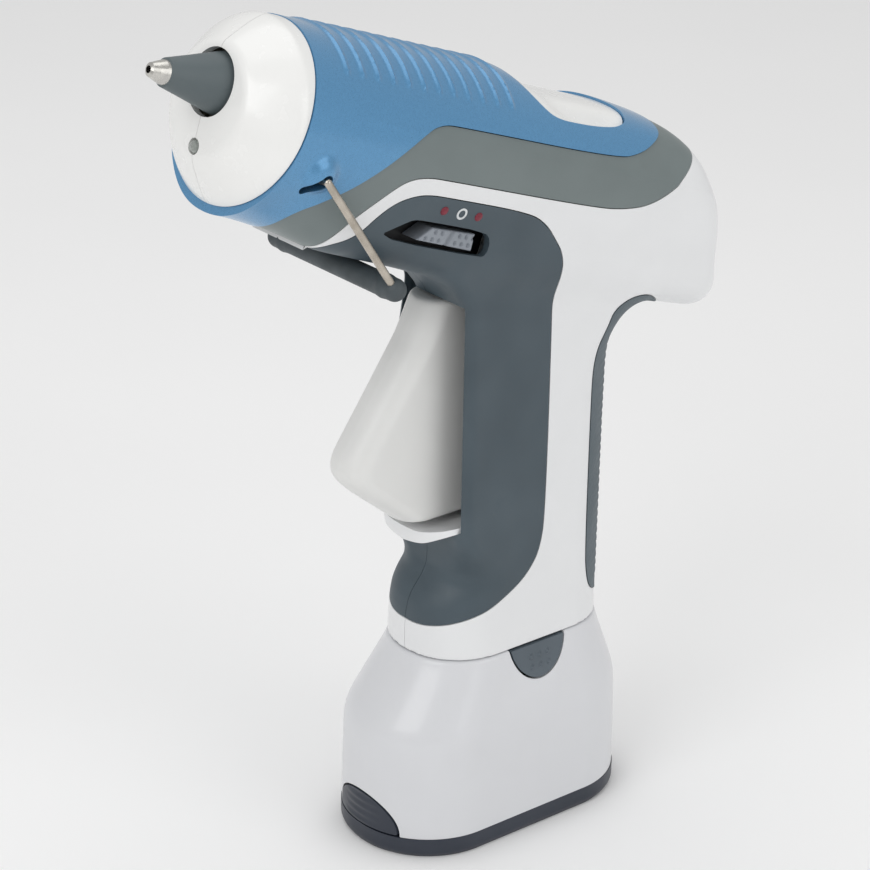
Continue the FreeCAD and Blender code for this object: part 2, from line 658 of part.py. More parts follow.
def pack_loft(name, inset, top):
    """The pack's outer form, drawn in by the inset: upright sides and a sloping shoulder."""
    reach = DIMENSIONS["pack_reach"]
    body = doc.addObject("PartDesign::Body", name)
    sections = [
        pack_section(body, DIMENSIONS["pack_radius"] - inset, -reach, reach, DIMENSIONS["plate_height"]),
        pack_section(body, DIMENSIONS["pack_shoulder_radius"] - inset, -reach, reach,
                     DIMENSIONS["pack_shoulder_height"]),
        pack_section(body, 17.8 - inset, -9.4, 16.2, top)]
    loft = body.newObject("PartDesign::AdditiveLoft", f"{name}_loft")
    loft.Profile = sections[0]
    loft.Sections = sections[1:]
    loft.Ruled = True
    return body


pack_outer = pack_loft("pack_outer", 0.0, DIMENSIONS["pack_top"])
pack_inner = pack_loft("pack_inner", WALL, DIMENSIONS["pack_top"] - WALL)
case_wall = cut("case_wall", pack_outer, pack_inner)


def half_round(name, width, height, clearance, low, high, centre, top, rotation):
    """A half-round prism, flat side at the given height, from distance low to high along its axis."""
    w, h = width + clearance, height + clearance
    flat = clearance
    direction = rotation.multVec(Z)
    base = Vector(centre[0], centre[1], top) + direction * low
    sketch = outline(name + "_outline", [(-w, flat), ((0, -h), (w, flat))], Placement(base, rotation))
    return extrude(name, sketch, direction, high - low)


GAP = DIMENSIONS["moving_gap"]
button_sides = (("left", Rotation(Y, Z, X, "ZXY")), ("right", Rotation(-Y, Z, -X, "ZXY")))
button_openings, release_buttons = [], []
for name, turn in button_sides:
    button_openings.append(half_round(f"release_opening_{name}", 9.4, 9.6, GAP, 11.2, 40.0,
                                      (0, 4.0), 53.0, turn))
    button = half_round(f"release_form_{name}", 9.4, 9.6, 0.0, 14.0, 40.0, (0, 4.0), 53.0, turn)
    release_buttons.append(node(f"release_button_{name}",
                                common(f"release_button_{name}", case_wall, button)))
FRONTWARD = Rotation(X, 90)
latch_turn = FRONTWARD.multiply(Rotation(Z, 180))
latch_opening = half_round("latch_opening", 12.0, 10.0, GAP, 30.0, 60.0, (0, 0), 5.6, latch_turn)
latch_form = half_round("latch_form", 12.0, 9.6, 0.0, 30.0, 60.0, (0, 0), 6.0, latch_turn)
node("base_latch_button", common("base_latch_button", case_wall, latch_form))
node("battery_case", cut("battery_case", case_wall, *button_openings, latch_opening))

plate = doc.addObject("PartDesign::Body", "battery_base_plate")
plate_pad = plate.newObject("PartDesign::Pad", "plate_pad")
plate_pad.Profile = pack_section(plate, DIMENSIONS["pack_radius"],
                                 -DIMENSIONS["pack_reach"], DIMENSIONS["pack_reach"], 0.0)
bind(plate_pad, Length="plate_height")
doc.recompute()
bottom_edges = [f"Edge{i + 1}" for i, edge in enumerate(plate_pad.Shape.Edges)
                if edge.BoundBox.ZMax < 0.01]
rounding = plate.newObject("PartDesign::Fillet", "plate_rounding")
rounding.Base = (plate_pad, bottom_edges)
rounding.Radius = 1.2
plate.Tip = rounding
node("battery_base_plate", plate)

CELL_Y = (-20.0, 2.1, 24.2)
node("battery_cells", group("battery_cells", *[
    cylinder(f"battery_cell{i}", "cell_radius", "cell_length", Vector(0, y, 6.2))
    for i, y in enumerate(CELL_Y)]))
node("cell_links", group("cell_links", *[
    box(f"cell_link{i}", (-3.0, y - 14.0, 39.2), (3.0, y + 14.0, 39.6))
    for i, y in enumerate((-9.0,))]))
node("pack_tower", stadium_pad("pack_tower", 8.0, -2.0, 10.0, DIMENSIONS["pack_top"], 62.4))
node("pack_contacts", group("pack_contacts", *[
    box(f"pack_contact{i}", (x - 1.5, 0.0, 62.4), (x + 1.5, 8.0, 63.0)) for i, x in enumerate((-4.0, 4.0))]))
node("handle_contact_block", box("handle_contact_block", (-15.0, -4.0, 66.6), (15.0, 12.0, 70.6)))
node("handle_contacts", group("handle_contacts", *[
    box(f"handle_contact{i}", (x - 1.5, 2.0, 63.4), (x + 1.5, 6.0, 66.6))
    for i, x in enumerate((-4.0, 4.0))]))


# Control board behind the trigger

node("control_board", box("control_board", (-14.6, 18.0, 82.0), (14.6, 19.6, 112.0)))
components = [(-9.0, 88.0, 6.0, 5.0, 9.0), (2.0, 86.0, 8.0, 4.0, 6.0), (-3.0, 100.0, 10.0, 3.0, 8.0)]
node("board_components", group("board_components", *[
    box(f"component{i}", (x, 18.0 - depth, z), (x + width, 18.0, z + height))
    for i, (x, z, width, depth, height) in enumerate(components)]))


# Springs

node("trigger_spring", coil("trigger_spring", 3.6, 0.5, 22.8, 7,
                            Placement(Vector(0, -11.3, 124.0), Rotation(Z, Y))))
node("spring_stop", box("spring_stop", (-15.0, 12.2, 118.0), (15.0, 14.2, 130.0)))
node("feed_return_spring", coil("feed_return_spring", 7.4, 0.5, 10.6, 5,
                                along_barrel(FEED, s=-90.2)))


def check_and_export():
    """Every object recomputed and every piece a valid closed shape, then one STEP file each."""
    doc.recompute()
    for obj in doc.Objects:
        assert not {"Invalid", "Error"} & set(obj.State), f"{obj.Name}: {obj.State}"
    for name, obj in nodes.items():
        shape = obj.Shape
        assert not shape.isNull() and shape.isValid(), f"{name} is not a valid shape"
        assert shape.Volume > 0 and shape.Solids, f"{name} has no solid"
    os.makedirs("parts", exist_ok=True)
    for name, obj in nodes.items():
        obj.Shape.exportStep(f"parts/{name}.step")
        print(name, len(obj.Shape.Solids), round(obj.Shape.Volume, 1))


check_and_export()
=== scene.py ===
import json
import math

import bpy
import numpy as np
from mathutils import Matrix, Vector


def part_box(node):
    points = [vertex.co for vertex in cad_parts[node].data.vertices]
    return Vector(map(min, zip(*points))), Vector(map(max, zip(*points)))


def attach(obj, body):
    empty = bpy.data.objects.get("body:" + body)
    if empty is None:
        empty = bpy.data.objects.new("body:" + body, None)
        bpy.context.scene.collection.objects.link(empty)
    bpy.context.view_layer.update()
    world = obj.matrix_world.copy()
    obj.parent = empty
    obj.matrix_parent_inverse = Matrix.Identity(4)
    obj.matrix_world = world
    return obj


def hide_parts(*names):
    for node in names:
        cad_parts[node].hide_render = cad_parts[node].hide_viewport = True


# Looks of the cordless glue gun. The visible mouldings are worked out as smooth implicit forms, in
# millimetres and in the row frame, and meshed on a fine grid. Barrel pieces use x, s (along the barrel,
# rearwards) and m (square to it, upwards from the barrel axis). The others use x, y and z.

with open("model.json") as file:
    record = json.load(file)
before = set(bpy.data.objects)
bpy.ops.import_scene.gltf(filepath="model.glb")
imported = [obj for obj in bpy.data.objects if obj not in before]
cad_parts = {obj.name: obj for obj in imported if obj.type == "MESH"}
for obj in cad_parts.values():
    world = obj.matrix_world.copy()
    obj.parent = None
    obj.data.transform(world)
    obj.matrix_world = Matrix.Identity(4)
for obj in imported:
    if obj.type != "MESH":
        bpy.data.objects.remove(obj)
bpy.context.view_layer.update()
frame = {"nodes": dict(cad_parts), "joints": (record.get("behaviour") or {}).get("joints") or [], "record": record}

MM = 0.001


def row_box(node):
    """Lowest and highest corner of a CAD node in millimetres."""
    low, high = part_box(node)
    return np.array(low) / MM, np.array(high) / MM


def joint(name):
    return next(j for j in frame["joints"] if j["name"] == name)


# Places taken from the frame

forward = joint("feed_slide")["axis"]
PITCH = math.atan2(forward[2], -forward[1])
COS, SIN = math.cos(PITCH), math.sin(PITCH)
inlet = next(m for m in frame["record"]["mounts"] if m["name"] == "stick_inlet")["pos_m"]
FEED_RISE = 5.8
AXIS_N = (inlet[1] * SIN + inlet[2] * COS) / MM - FEED_RISE
BARREL_R = row_box("barrel_cover")[1][0]
pivot = np.array(joint("stand_swing")["pos_m"]) / MM
GRIP_LOW = row_box("body_shell_left")[0][2]
PLATE_TOP = row_box("battery_base_plate")[1][2]
CASE_TOP = row_box("battery_case")[1][2]
PACK_R = row_box("battery_case")[1][0]

WALL = 2.0
GAP = 0.13
COVER_RISE = 0.35
FINE = 0.55
CLEAR = -9.0    # a term's value where it bounds nothing


def to_barrel(y, z):
    return y * COS - z * SIN, y * SIN + z * COS - AXIS_N


def to_row(s, m):
    n = m + AXIS_N
    return s * COS + n * SIN, -s * SIN + n * COS


# Implicit form tools: a form is negative inside

def smooth_min(a, b, k):
    h = np.clip(0.5 + 0.5 * (b - a) / k, 0, 1)
    return b + (a - b) * h - k * h * (1 - h)


def smooth_max(a, b, k):
    return -smooth_min(-a, -b, k)


def profile(points, softness=2.0):
    """A smoothed line through (place, value) points, as a function."""
    places, amounts = np.array(points, float).T
    fine = np.arange(places[0] - 20, places[-1] + 20, 0.25)
    reach = np.arange(-4 * softness, 4 * softness + 0.25, 0.25)
    kernel = np.exp(-0.5 * (reach / softness) ** 2)
    padded = np.pad(np.interp(fine, places, amounts), len(reach) // 2, mode="edge")
    smooth = np.convolve(padded, kernel / kernel.sum(), mode="same")
    smooth = smooth[len(reach) // 2:len(reach) // 2 + len(fine)]
    return lambda v: np.interp(v, fine, smooth)


def rounded_box(x, y, half_x, half_y, radius):
    a, b = np.abs(x) - half_x + radius, np.abs(y) - half_y + radius
    return np.hypot(np.maximum(a, 0), np.maximum(b, 0)) + np.minimum(np.maximum(a, b), 0) - radius


def softened(points, rounds=3):
    """An open line with its corners cut, ends kept."""
    line = np.array(points, float)
    for _ in range(rounds):
        near = 0.75 * line[:-1] + 0.25 * line[1:]
        far = 0.25 * line[:-1] + 0.75 * line[1:]
        line = np.vstack([line[:1], np.stack([near, far], 1).reshape(-1, 2), line[-1:]])
    return [tuple(p) for p in line]


def polygon(points, a, b):
    """Signed distance from places (a, b) to a closed polygon."""
    corners = np.array(points, float)
    best = np.full(np.broadcast(a, b).shape, 1e18)
    inside = np.zeros(best.shape, bool)
    for (a0, b0), (a1, b1) in zip(corners, np.roll(corners, -1, 0)):
        ea, eb = a1 - a0, b1 - b0
        t = np.clip(((a - a0) * ea + (b - b0) * eb) / (ea * ea + eb * eb + 1e-12), 0, 1)
        best = np.minimum(best, (a - a0 - t * ea) ** 2 + (b - b0 - t * eb) ** 2)
        crosses = (b0 > b) != (b1 > b)
        if eb:
            inside ^= crosses & (a < a0 + (b - b0) * ea / eb)
    return np.where(inside, -1, 1) * np.sqrt(best)


def zone(points, low, high, step=0.5):
    a, b = (np.arange(low[k], high[k], step) for k in range(2))
    field = polygon(points, a[:, None], b[None, :])

    def look(u, v):
        i = np.clip((u - low[0]) / step, 0, len(a) - 1.001)
        j = np.clip((v - low[1]) / step, 0, len(b) - 1.001)
        i0, j0 = i.astype(int), j.astype(int)
        di, dj = i - i0, j - j0
        near = field[i0, j0] * (1 - dj) + field[i0, j0 + 1] * dj
        far = field[i0 + 1, j0] * (1 - dj) + field[i0 + 1, j0 + 1] * dj
        return near * (1 - di) + far * di
    return look


# The gun's outer form

width_of = profile([(-150, 14.0), (-146, 14.5), (-120, 20.6), (-70, 20.9), (-20, 21.6), (40, 22.2)], 4)
depth_of = profile([(-150, 21.0), (-146, 21.5), (-122, 27.6), (-97, 28.7), (-84, 29.6), (-70, 29.0),
                    (-20, 27.2), (20, 26.2)], 3)
top_of = profile([(-160, 25.5), (-75, 25.5), (-72, 24.6), (-61, 20.6), (-30, 20.6), (-13, 19.0),
                  (10, 17.0)], 1.5)
rear_of = profile([(110, 62.6), (134, 63.7), (142, 63.6), (152, 62.3), (161, 61.2), (165, 60.8), (174, 58.5),
                   (184, 54.9), (195, 50.5)], 2.5)
grip_width = profile([(50, 17.9), (56, 17.6), (62, 17.2), (170, 17.2)], 1.5)
grip_front = profile([(50, -26.7), (61, -26.7), (64.5, -26.4), (68, -25.6), (71, -23.8), (73.5, -21.4),
                      (77, -19.6), (82, -19.5), (88, -21.0), (153, -21.0), (158, -24.0), (163, -27.0)], 0.9)
wall_setback = profile([(118, 0), (150, 5.0), (154, 5.0), (160, 0)], 2.0)
grip_rear = profile([(50, 33.5), (110, 33.8), (127, 34.1), (132, 35.0), (136, 37.6), (140, 42.0),
                     (150, 52.0)], 1.5)
corner_of = profile([(50, 16.4), (74, 15.5), (84, 5.0), (92, 3.2), (170, 3.2)], 1.5)


def barrel_form(x, s, m):
    tube = np.hypot(x, m) - BARREL_R
    belly = rounded_box(x, m, width_of(s), depth_of(s), 11.0)
    form = smooth_min(tube, np.maximum(belly, m - 4), 4.0)
    return smooth_max(form, m - top_of(s) + 0.006 * x * x, 3.0)


GRIP_BACK_CORNER = 16.4


def grip_form(x, y, z):
    front, rear = grip_front(z) + np.where(x < -4, wall_setback(z), 0), grip_rear(z)
    middle = 0.5 * (front + rear)
    radius = np.where(y < middle, corner_of(z), GRIP_BACK_CORNER)
    return rounded_box(x, y - middle, grip_width(z), 0.5 * (rear - front), radius)


def body_form(x, y, z):
    s, m = to_barrel(y, z)
    barrel = smooth_max(barrel_form(x, s, m), y - rear_of(z), 9.0)
    grip = np.maximum(grip_form(x, y, z), m + 6.0)
    return np.maximum(smooth_min(barrel, grip, 6.0), GRIP_LOW - z)


def barrel_body(x, s, m):
    y, z = to_row(s, m)
    return body_form(x, y, z)


NOSE_BACK, NOSE_LENGTH = -144.0, 11.3
NOSE_TIP = NOSE_BACK - NOSE_LENGTH
NOSE_TIP_R, NOSE_RIM_R = 12.6, 14.3
NOSE_RISE = 1.6
NOSE_CURVE = 1.5


def nose_form(x, s, m):
    """A bulging cap that ends in a nearly flat face with a soft rim."""
    ahead = np.clip((NOSE_BACK - s) / NOSE_LENGTH, 0, 1)
    radius = NOSE_TIP_R + (BARREL_R - NOSE_TIP_R) * (1 - ahead ** NOSE_CURVE) ** (1 / NOSE_CURVE)
    away = np.hypot(x, m - NOSE_RISE * ahead ** 2)
    side = away - radius
    face = NOSE_TIP - s + 0.0025 * (x * x + m * m)
    cone = 0.65 * (away - NOSE_RIM_R) + 0.76 * (NOSE_TIP + 0.6 - s)
    return smooth_max(smooth_max(side, cone, 2.0), face, 0.8)


def seam(m):
    """Where the nose cap meets the rest, leaning with the cap."""
    return -143.6 + 0.15 * m


# Colour lines in the side view

BLUE_LINE = softened([(-137.4, -40), (-136.9, -23.3), (-135, -18.2), (-129.8, -14.4), (-124.2, -9.8),
                      (-118.2, -4.1), (-109.1, 4.5), (-105.1, 7.8), (-100.9, 9.3), (-96, 9.5), (-41.2, 9.5),
                      (-32.7, 11.6), (-26.3, 15.1), (-21.5, 19.0), (-20.4, 40)])
BAND_LINE = softened([(-124.6, -40), (-123.4, -26), (-121.2, -19.2), (-115.6, -12.7), (-110.4, -6.6),
                      (-106.7, -4.5), (-102.2, -3.6), (-97, -3.5), (-45, -3.5), (-34.5, -2.4), (-26.9, -0.3),
                      (-19.1, 4.9), (-13.9, 10.4), (-10.1, 16.6), (-8.6, 40)])
GRIP_TOP = softened([to_row(*p) for p in (
    (-126.0, -40), (-122.7, -26), (-117.2, -21.8), (-112.8, -15.6), (-108.9, -11.1), (-104.2, -8.7),
    (-99.9, -7.8), (-94, -7.7), (-66.5, -7.8), (-59, -10), (-53.4, -13.8), (-49.7, -16.6))]
    + [(6.2, 157.0), (6.2, 90.0), (4.6, 79.9), (1.2, 74.9), (-3.0, 71.5), (-11.1, 67.6), (-19.2, 65.0),
       (-30.0, 61.2), (-45.0, 60.5)])
STRAP_LINE = softened([(60, 124), (46, 139.0), (40.0, 143.6), (36.0, 144.9), (32.0, 144.7),
                       (27.6, 141.7), (25.7, 137), (23.0, 132.6), (21.5, 127), (21.2, 118), (21.2, 75),
                       (22.2, 66.6), (24.7, 61.4), (33.0, 58.3), (60, 58.3)])
SLOT_LINE = softened([(-109.4, -19.3), (-104.4, -16.4), (-101.4, -14.6), (-98, -14.4), (-77.6, -14.6),
                      (-74.9, -16.6), (-74.8, -20.2), (-76.4, -21.2), (-104.5, -20.8), (-109.4, -19.3)], 1)
WINDOW_LINE = softened([(0, -72.8), (9.0, -71.0), (13.9, -68.7), (17.2, -65.1), (18.4, -61.5), (18.5, -55),
                        (18.3, -46.5), (17.4, -38.7), (14.4, -34.4), (8.0, -32.6), (0, -32.2)])
WINDOW_LINE = WINDOW_LINE + [(-x, s) for x, s in reversed(WINDOW_LINE[1:-1])]
SIDE_LOW, SIDE_HIGH = (-160, -130), (70, 40)
blue_zone = zone(BLUE_LINE + [(-200, 40), (-200, -40)], SIDE_LOW, SIDE_HIGH)
band_zone = zone(BAND_LINE + [(-200, 40), (-200, -40)], SIDE_LOW, SIDE_HIGH)
grip_zone = zone(GRIP_TOP + [(-160.0, 100.0), (-160.0, 200.0)], (-85, 50), (70, 220))
strap_zone = zone(STRAP_LINE, (-85, 50), (70, 220))
slot_zone = zone(SLOT_LINE, SIDE_LOW, SIDE_HIGH)
window_zone = zone(WINDOW_LINE, (-30, -150), (30, 10))


# Meshing: one vertex per grid cell that the surface crosses, then pulled on to the exact surfaces.
# A form is a function that returns its terms, and is inside where all of them are negative.

def surface_net(values, owner, origin, step):
    """Points, quads, and which terms bound each point, as bits."""
    cells = tuple(n - 1 for n in values.shape)
    total = int(np.prod(cells))
    count = np.zeros(total)
    sums = np.zeros((3, total))
    bits = np.zeros(total, np.int64)
    quads = []
    for axis in range(3):
        lead = [slice(None)] * 3
        tail = [slice(None)] * 3
        lead[axis], tail[axis] = slice(None, -1), slice(1, None)
        first, second = values[tuple(lead)], values[tuple(tail)]
        at = np.argwhere((first < 0) != (second < 0))
        v0, v1 = first[tuple(at.T)], second[tuple(at.T)]
        term = np.where(v0 < 0, owner[tuple(tail)][tuple(at.T)], owner[tuple(lead)][tuple(at.T)])
        place = at.astype(float)
        place[:, axis] += v0 / (v0 - v1)
        b, c = (axis + 1) % 3, (axis + 2) % 3
        ring = []
        for db, dc in ((0, 0), (-1, 0), (-1, -1), (0, -1)):
            cell = at.copy()
            cell[:, b] += db
            cell[:, c] += dc
            flat = np.ravel_multi_index(cell.T, cells, mode="clip")
            count += np.bincount(flat, minlength=total)
            np.bitwise_or.at(bits, flat, 1 << term.astype(np.int64))
            for k in range(3):
                sums[k] += np.bincount(flat, weights=place[:, k], minlength=total)
            ring.append(flat)
        ring = np.stack(ring, 1)
        quads.append(np.where((v0 < 0)[:, None], ring, ring[:, ::-1]))
    used = count > 0
    index = np.cumsum(used) - 1
    points = (sums[:, used] / count[used]).T * step + origin
    return points, index[np.vstack(quads)], bits[used]


def settle(points, form, bits, step):
    """Pull each point on to the surfaces that bound it, so that edges come out straight."""
    nudge = 0.04
    limit = 0.7 * step
    for _ in range(3):
        base = np.array(np.broadcast_arrays(*form(*points.T)))
        bounding = ((bits[None, :] >> np.arange(len(base))[:, None]) & 1) * (np.abs(base) < 2 * step)
        slopes = []
        for k in range(3):
            moved = points.copy()
            moved[:, k] += nudge
            slopes.append((np.array(np.broadcast_arrays(*form(*moved.T))) - base) / nudge)
        slope = np.stack(slopes, -1) * bounding[..., None]
        square = np.einsum("kni,knj->nij", slope, slope) + 0.03 * np.eye(3)
        pull = -np.einsum("kni,kn->ni", slope, base * bounding)
        shift = np.linalg.solve(square, pull[..., None])[..., 0]
        length = np.maximum(np.linalg.norm(shift, axis=1), 1e-9)
        points = points + shift * np.minimum(1, limit / length)[:, None]
    return points


def add_mesh(name, points, faces, material, body, replaced=()):
    mesh = bpy.data.meshes.new(name)
    mesh.vertices.add(len(points))
    mesh.vertices.foreach_set("co", np.asarray(points, np.float32).ravel())
    sides = len(faces[0])
    mesh.loops.add(len(faces) * sides)
    mesh.loops.foreach_set("vertex_index", np.asarray(faces, np.int32).ravel())
    mesh.polygons.add(len(faces))
    mesh.polygons.foreach_set("loop_start", np.arange(0, len(faces) * sides, sides, dtype=np.int32))
    mesh.update(calc_edges=True)
    mesh.validate()
    mesh.polygons.foreach_set("use_smooth", np.full(len(mesh.polygons), True))
    mesh.set_sharp_from_angle(angle=math.radians(38))
    mesh.materials.append(material)
    piece = bpy.data.objects.new(name, mesh)
    bpy.context.scene.collection.objects.link(piece)
    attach(piece, body)
    if replaced:
        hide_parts(*replaced)
    return piece


def moulding(name, low, high, form, material, body, replaced=(), step=FINE, barrel=True):
    """A piece meshed from form(x, a, b) over the box low..high, in barrel or row coordinates."""
    axes = [np.arange(low[k] - 2 * step, high[k] + 2 * step, step) for k in range(3)]
    x, a, b = axes[0][:, None, None], axes[1][None, :, None], axes[2][None, None, :]
    shape = tuple(len(axis) for axis in axes)
    values, owner = np.full(shape, -1e9), np.zeros(shape, np.int8)
    for i, term in enumerate(form(x, a, b)):
        higher = term > values
        owner[higher] = i
        values = np.maximum(values, term)
    for k in range(3):
        edge = [slice(None)] * 3
        for end in (0, -1):
            edge[k] = end
            values[tuple(edge)] = np.maximum(values[tuple(edge)], 0.01)
    points, faces, bits = surface_net(values, owner, np.array([axis[0] for axis in axes]), step)
    points = settle(points, form, bits, step)
    if barrel:
        y, z = to_row(points[:, 1], points[:, 2])
        points = np.stack([points[:, 0], y, z], 1)
    return add_mesh(name, points * MM, faces, material, body, replaced)


# Materials

def linear(*srgb):
    return [((c / 255 + 0.055) / 1.055) ** 2.4 if c > 10 else c / 255 / 12.92 for c in srgb] + [1.0]


def new_material(name):
    material = bpy.data.materials.new(name)
    material.use_nodes = True
    tree = material.node_tree
    return material, tree, tree.nodes["Principled BSDF"]


def noise(tree, scale, detail=3.0, coordinates="Object"):
    where = tree.nodes.new("ShaderNodeTexCoord")
    texture = tree.nodes.new("ShaderNodeTexNoise")
    texture.inputs["Scale"].default_value = scale
    texture.inputs["Detail"].default_value = detail
    tree.links.new(where.outputs[coordinates], texture.inputs["Vector"])
    return texture.outputs["Fac"]


def between(tree, factor, low, high):
    """The factor, mapped from its middle range to low..high."""
    spread = tree.nodes.new("ShaderNodeMapRange")
    spread.inputs["From Min"].default_value = 0.3
    spread.inputs["From Max"].default_value = 0.7
    spread.inputs["To Min"].default_value = low
    spread.inputs["To Max"].default_value = high
    tree.links.new(factor, spread.inputs["Value"])
    return spread.outputs["Result"]


def tinted(tree, factor, first, second):
    ramp = tree.nodes.new("ShaderNodeValToRGB")
    ramp.color_ramp.elements[0].position, ramp.color_ramp.elements[1].position = 0.35, 0.65
    ramp.color_ramp.elements[0].color, ramp.color_ramp.elements[1].color = first, second
    tree.links.new(factor, ramp.inputs["Fac"])
    return ramp.outputs["Color"]


def raised(tree, factor, strength, distance):
    bump = tree.nodes.new("ShaderNodeBump")
    bump.inputs["Strength"].default_value = strength
    bump.inputs["Distance"].default_value = distance
    tree.links.new(factor, bump.inputs["Height"])
    return bump.outputs["Normal"]


def surface(name, first, second, rough, patch=60.0, grain=2500.0, grain_depth=0.00002, metallic=0.0,
            coat=0.0, grain_strength=0.4, **sockets):
    """A moulded or machined finish: colour drifting between two tones, uneven gloss and a fine grain."""
    material, tree, shader = new_material(name)
    tint = tinted(tree, noise(tree, patch), linear(*first), linear(*second))
    tree.links.new(tint, shader.inputs["Base Color"])
    gloss = between(tree, noise(tree, patch * 4), *rough)
    tree.links.new(gloss, shader.inputs["Roughness"])
    relief = raised(tree, noise(tree, grain, 2.0), grain_strength, grain_depth)
    tree.links.new(relief, shader.inputs["Normal"])
    shader.inputs["Metallic"].default_value = metallic
    shader.inputs["Coat Weight"].default_value = coat
    shader.inputs["Coat Roughness"].default_value = 0.12
    for socket, amount in sockets.items():
        shader.inputs[socket.replace("_", " ")].default_value = amount
    return material


PEARL = surface("pearl_white", (229, 230, 231), (231, 232, 233), (0.28, 0.31), coat=0.35)
NOSE_WHITE = surface("nose_white", (238, 238, 236), (240, 240, 238), (0.25, 0.28), coat=0.35)
PACK_PEARL = surface("pack_pearl", (216, 217, 220), (218, 219, 222), (0.31, 0.34), coat=0.3)
BLUE = surface("blue_pearl", (84, 142, 186), (90, 149, 193), (0.26, 0.32), patch=1500.0, metallic=0.4,
               coat=0.5)
BAND = surface("band_grey", (110, 120, 120), (114, 124, 124), (0.34, 0.40))
SLATE = surface("grip_slate", (62, 75, 83), (70, 83, 91), (0.42, 0.54), grain_depth=0.00004)
STRAP = surface("strap_rubber", (84, 95, 101), (94, 104, 110), (0.55, 0.7), grain=1100.0,
                grain_depth=0.00025, grain_strength=0.8)
CREAM = surface("trigger_white", (224, 224, 222), (227, 227, 225), (0.38, 0.44))
NAVY = surface("dark_navy", (38, 44, 56), (44, 50, 62), (0.35, 0.45))
BUTTON = surface("button_grey", (78, 88, 96), (86, 96, 104), (0.38, 0.46))
SLIDER_GREY = surface("slider_grey", (136, 142, 150), (144, 150, 158), (0.38, 0.46))
SLEEVE = surface("sleeve_rubber", (84, 94, 97), (92, 102, 105), (0.45, 0.58))
TIP = surface("tip_metal", (190, 188, 184), (208, 206, 200), (0.18, 0.34), metallic=1.0, patch=400.0)
WIRE = surface("wire_steel", (176, 168, 156), (196, 188, 176), (0.2, 0.34), metallic=1.0, patch=300.0)
FOOT = surface("foot_rubber", (60, 68, 72), (72, 80, 84), (0.5, 0.62), patch=200.0)
STEEL = surface("plain_steel", (150, 150, 150), (170, 170, 170), (0.25, 0.4), metallic=1.0, patch=300.0)
NATURAL = surface("natural_plastic", (188, 180, 164), (198, 190, 174), (0.45, 0.6))
BLACK = surface("black_plastic", (24, 25, 27), (34, 35, 38), (0.4, 0.55))
BOARD = surface("board_green", (20, 80, 45), (28, 92, 54), (0.3, 0.45), patch=900.0)
BRASS = surface("contact_brass", (200, 160, 84), (214, 176, 100), (0.2, 0.35), metallic=1.0, patch=500.0)
WRAP = surface("cell_wrap", (52, 112, 84), (60, 124, 92), (0.3, 0.4))
CERAMIC = surface("heater_ceramic", (220, 214, 200), (228, 222, 210), (0.5, 0.65))
RED = surface("status_red", (110, 16, 38), (126, 24, 48), (0.3, 0.4), patch=900.0)
PRINT = surface("printed_white", (206, 210, 212), (218, 221, 222), (0.4, 0.5), patch=900.0)
LENS = surface("lens_clear", (196, 204, 198), (220, 226, 220), (0.04, 0.1), patch=900.0, coat=1.0,
                Transmission_Weight=0.6)

CAD_FINISH = {
    TIP: ("nozzle_tip", "melt_chamber"),
    SLEEVE: ("nozzle_sleeve", "stick_sleeve"),
    CERAMIC: ("heater_element",),
    STEEL: ("heater_clamp", "case_screws", "trigger_pivot_pin", "stick_gripper", "trigger_spring",
            "feed_return_spring", "cell_links"),
    NATURAL: ("chamber_mounts", "stick_guide_tube", "spring_stop", "feed_carriage"),
    BLACK: ("rear_inlet_ring", "switch_body", "board_components", "handle_contact_block"),
    BOARD: ("control_board", "lens_board"),
    BRASS: ("handle_contacts", "pack_contacts"),
    WRAP: ("battery_cells",),
    PEARL: ("pack_tower",),
    WIRE: ("stand_wire",),
    LENS: ("nose_lens",),
}
for material, members in CAD_FINISH.items():
    for member in members:
        slots = frame["nodes"][member].material_slots
        for i in range(len(slots)):
            slots[i].material = material


# Nose cap in two halves

def side_of(x, hand):
    """Positive on the other side of the mid-plane seam."""
    return GAP * 0.5 - hand * x


NOZZLE_HOLE_R, LENS_HOLE_R = 8.3, 2.0
LENS_M = -9.7


def nose_half(hand):
    def form(x, s, m):
        skin = nose_form(x, s, m)
        nozzle_hole = NOZZLE_HOLE_R - np.hypot(x, m - FEED_RISE)
        lens_hole = LENS_HOLE_R - np.hypot(x, m - LENS_M)
        in_face = s < -148
        return [
            skin, -(skin + WALL), s - seam(m) + GAP, np.where(in_face, nozzle_hole, CLEAR),
            np.where(in_face, lens_hole, CLEAR), side_of(x, hand)]
    return form


def hand_range(hand, width):
    return (0.0, width) if hand > 0 else (-width, 0.0)


for name, hand in (("left", 1), ("right", -1)):
    x0, x1 = hand_range(hand, 24.6)
    moulding(f"nose_{name}", (x0, -156.5, -25), (x1, -138.5, 25), nose_half(hand), NOSE_WHITE,
             "housing", (f"nose_cap_{name}",), step=0.45)


# Barrel cover: raised skin with ribs, stand bosses and the window opening

RIBS = [-131.3 + 4.9 * i for i in range(12)]
RIB_HEIGHT, RIB_WIDTH = 0.55, 0.62
RIB_END_M, RIB_FADE = 15.4, 1.6
stand_s, stand_m = to_barrel(pivot[1], pivot[2])
DOME_R = 6.2
DOME_X = 19.1
DOME_AHEAD, DOME_ABOVE = 0.8, 2.3
SLOT_REACH = 3.3


def ribbed(x, s, m):
    """Height of the ribs over the top of the cover."""
    reach = np.clip((m - RIB_END_M) / RIB_FADE, 0, 1)
    height = sum(np.exp(-((s - rib) / RIB_WIDTH) ** 2) for rib in RIBS)
    return RIB_HEIGHT * reach * height


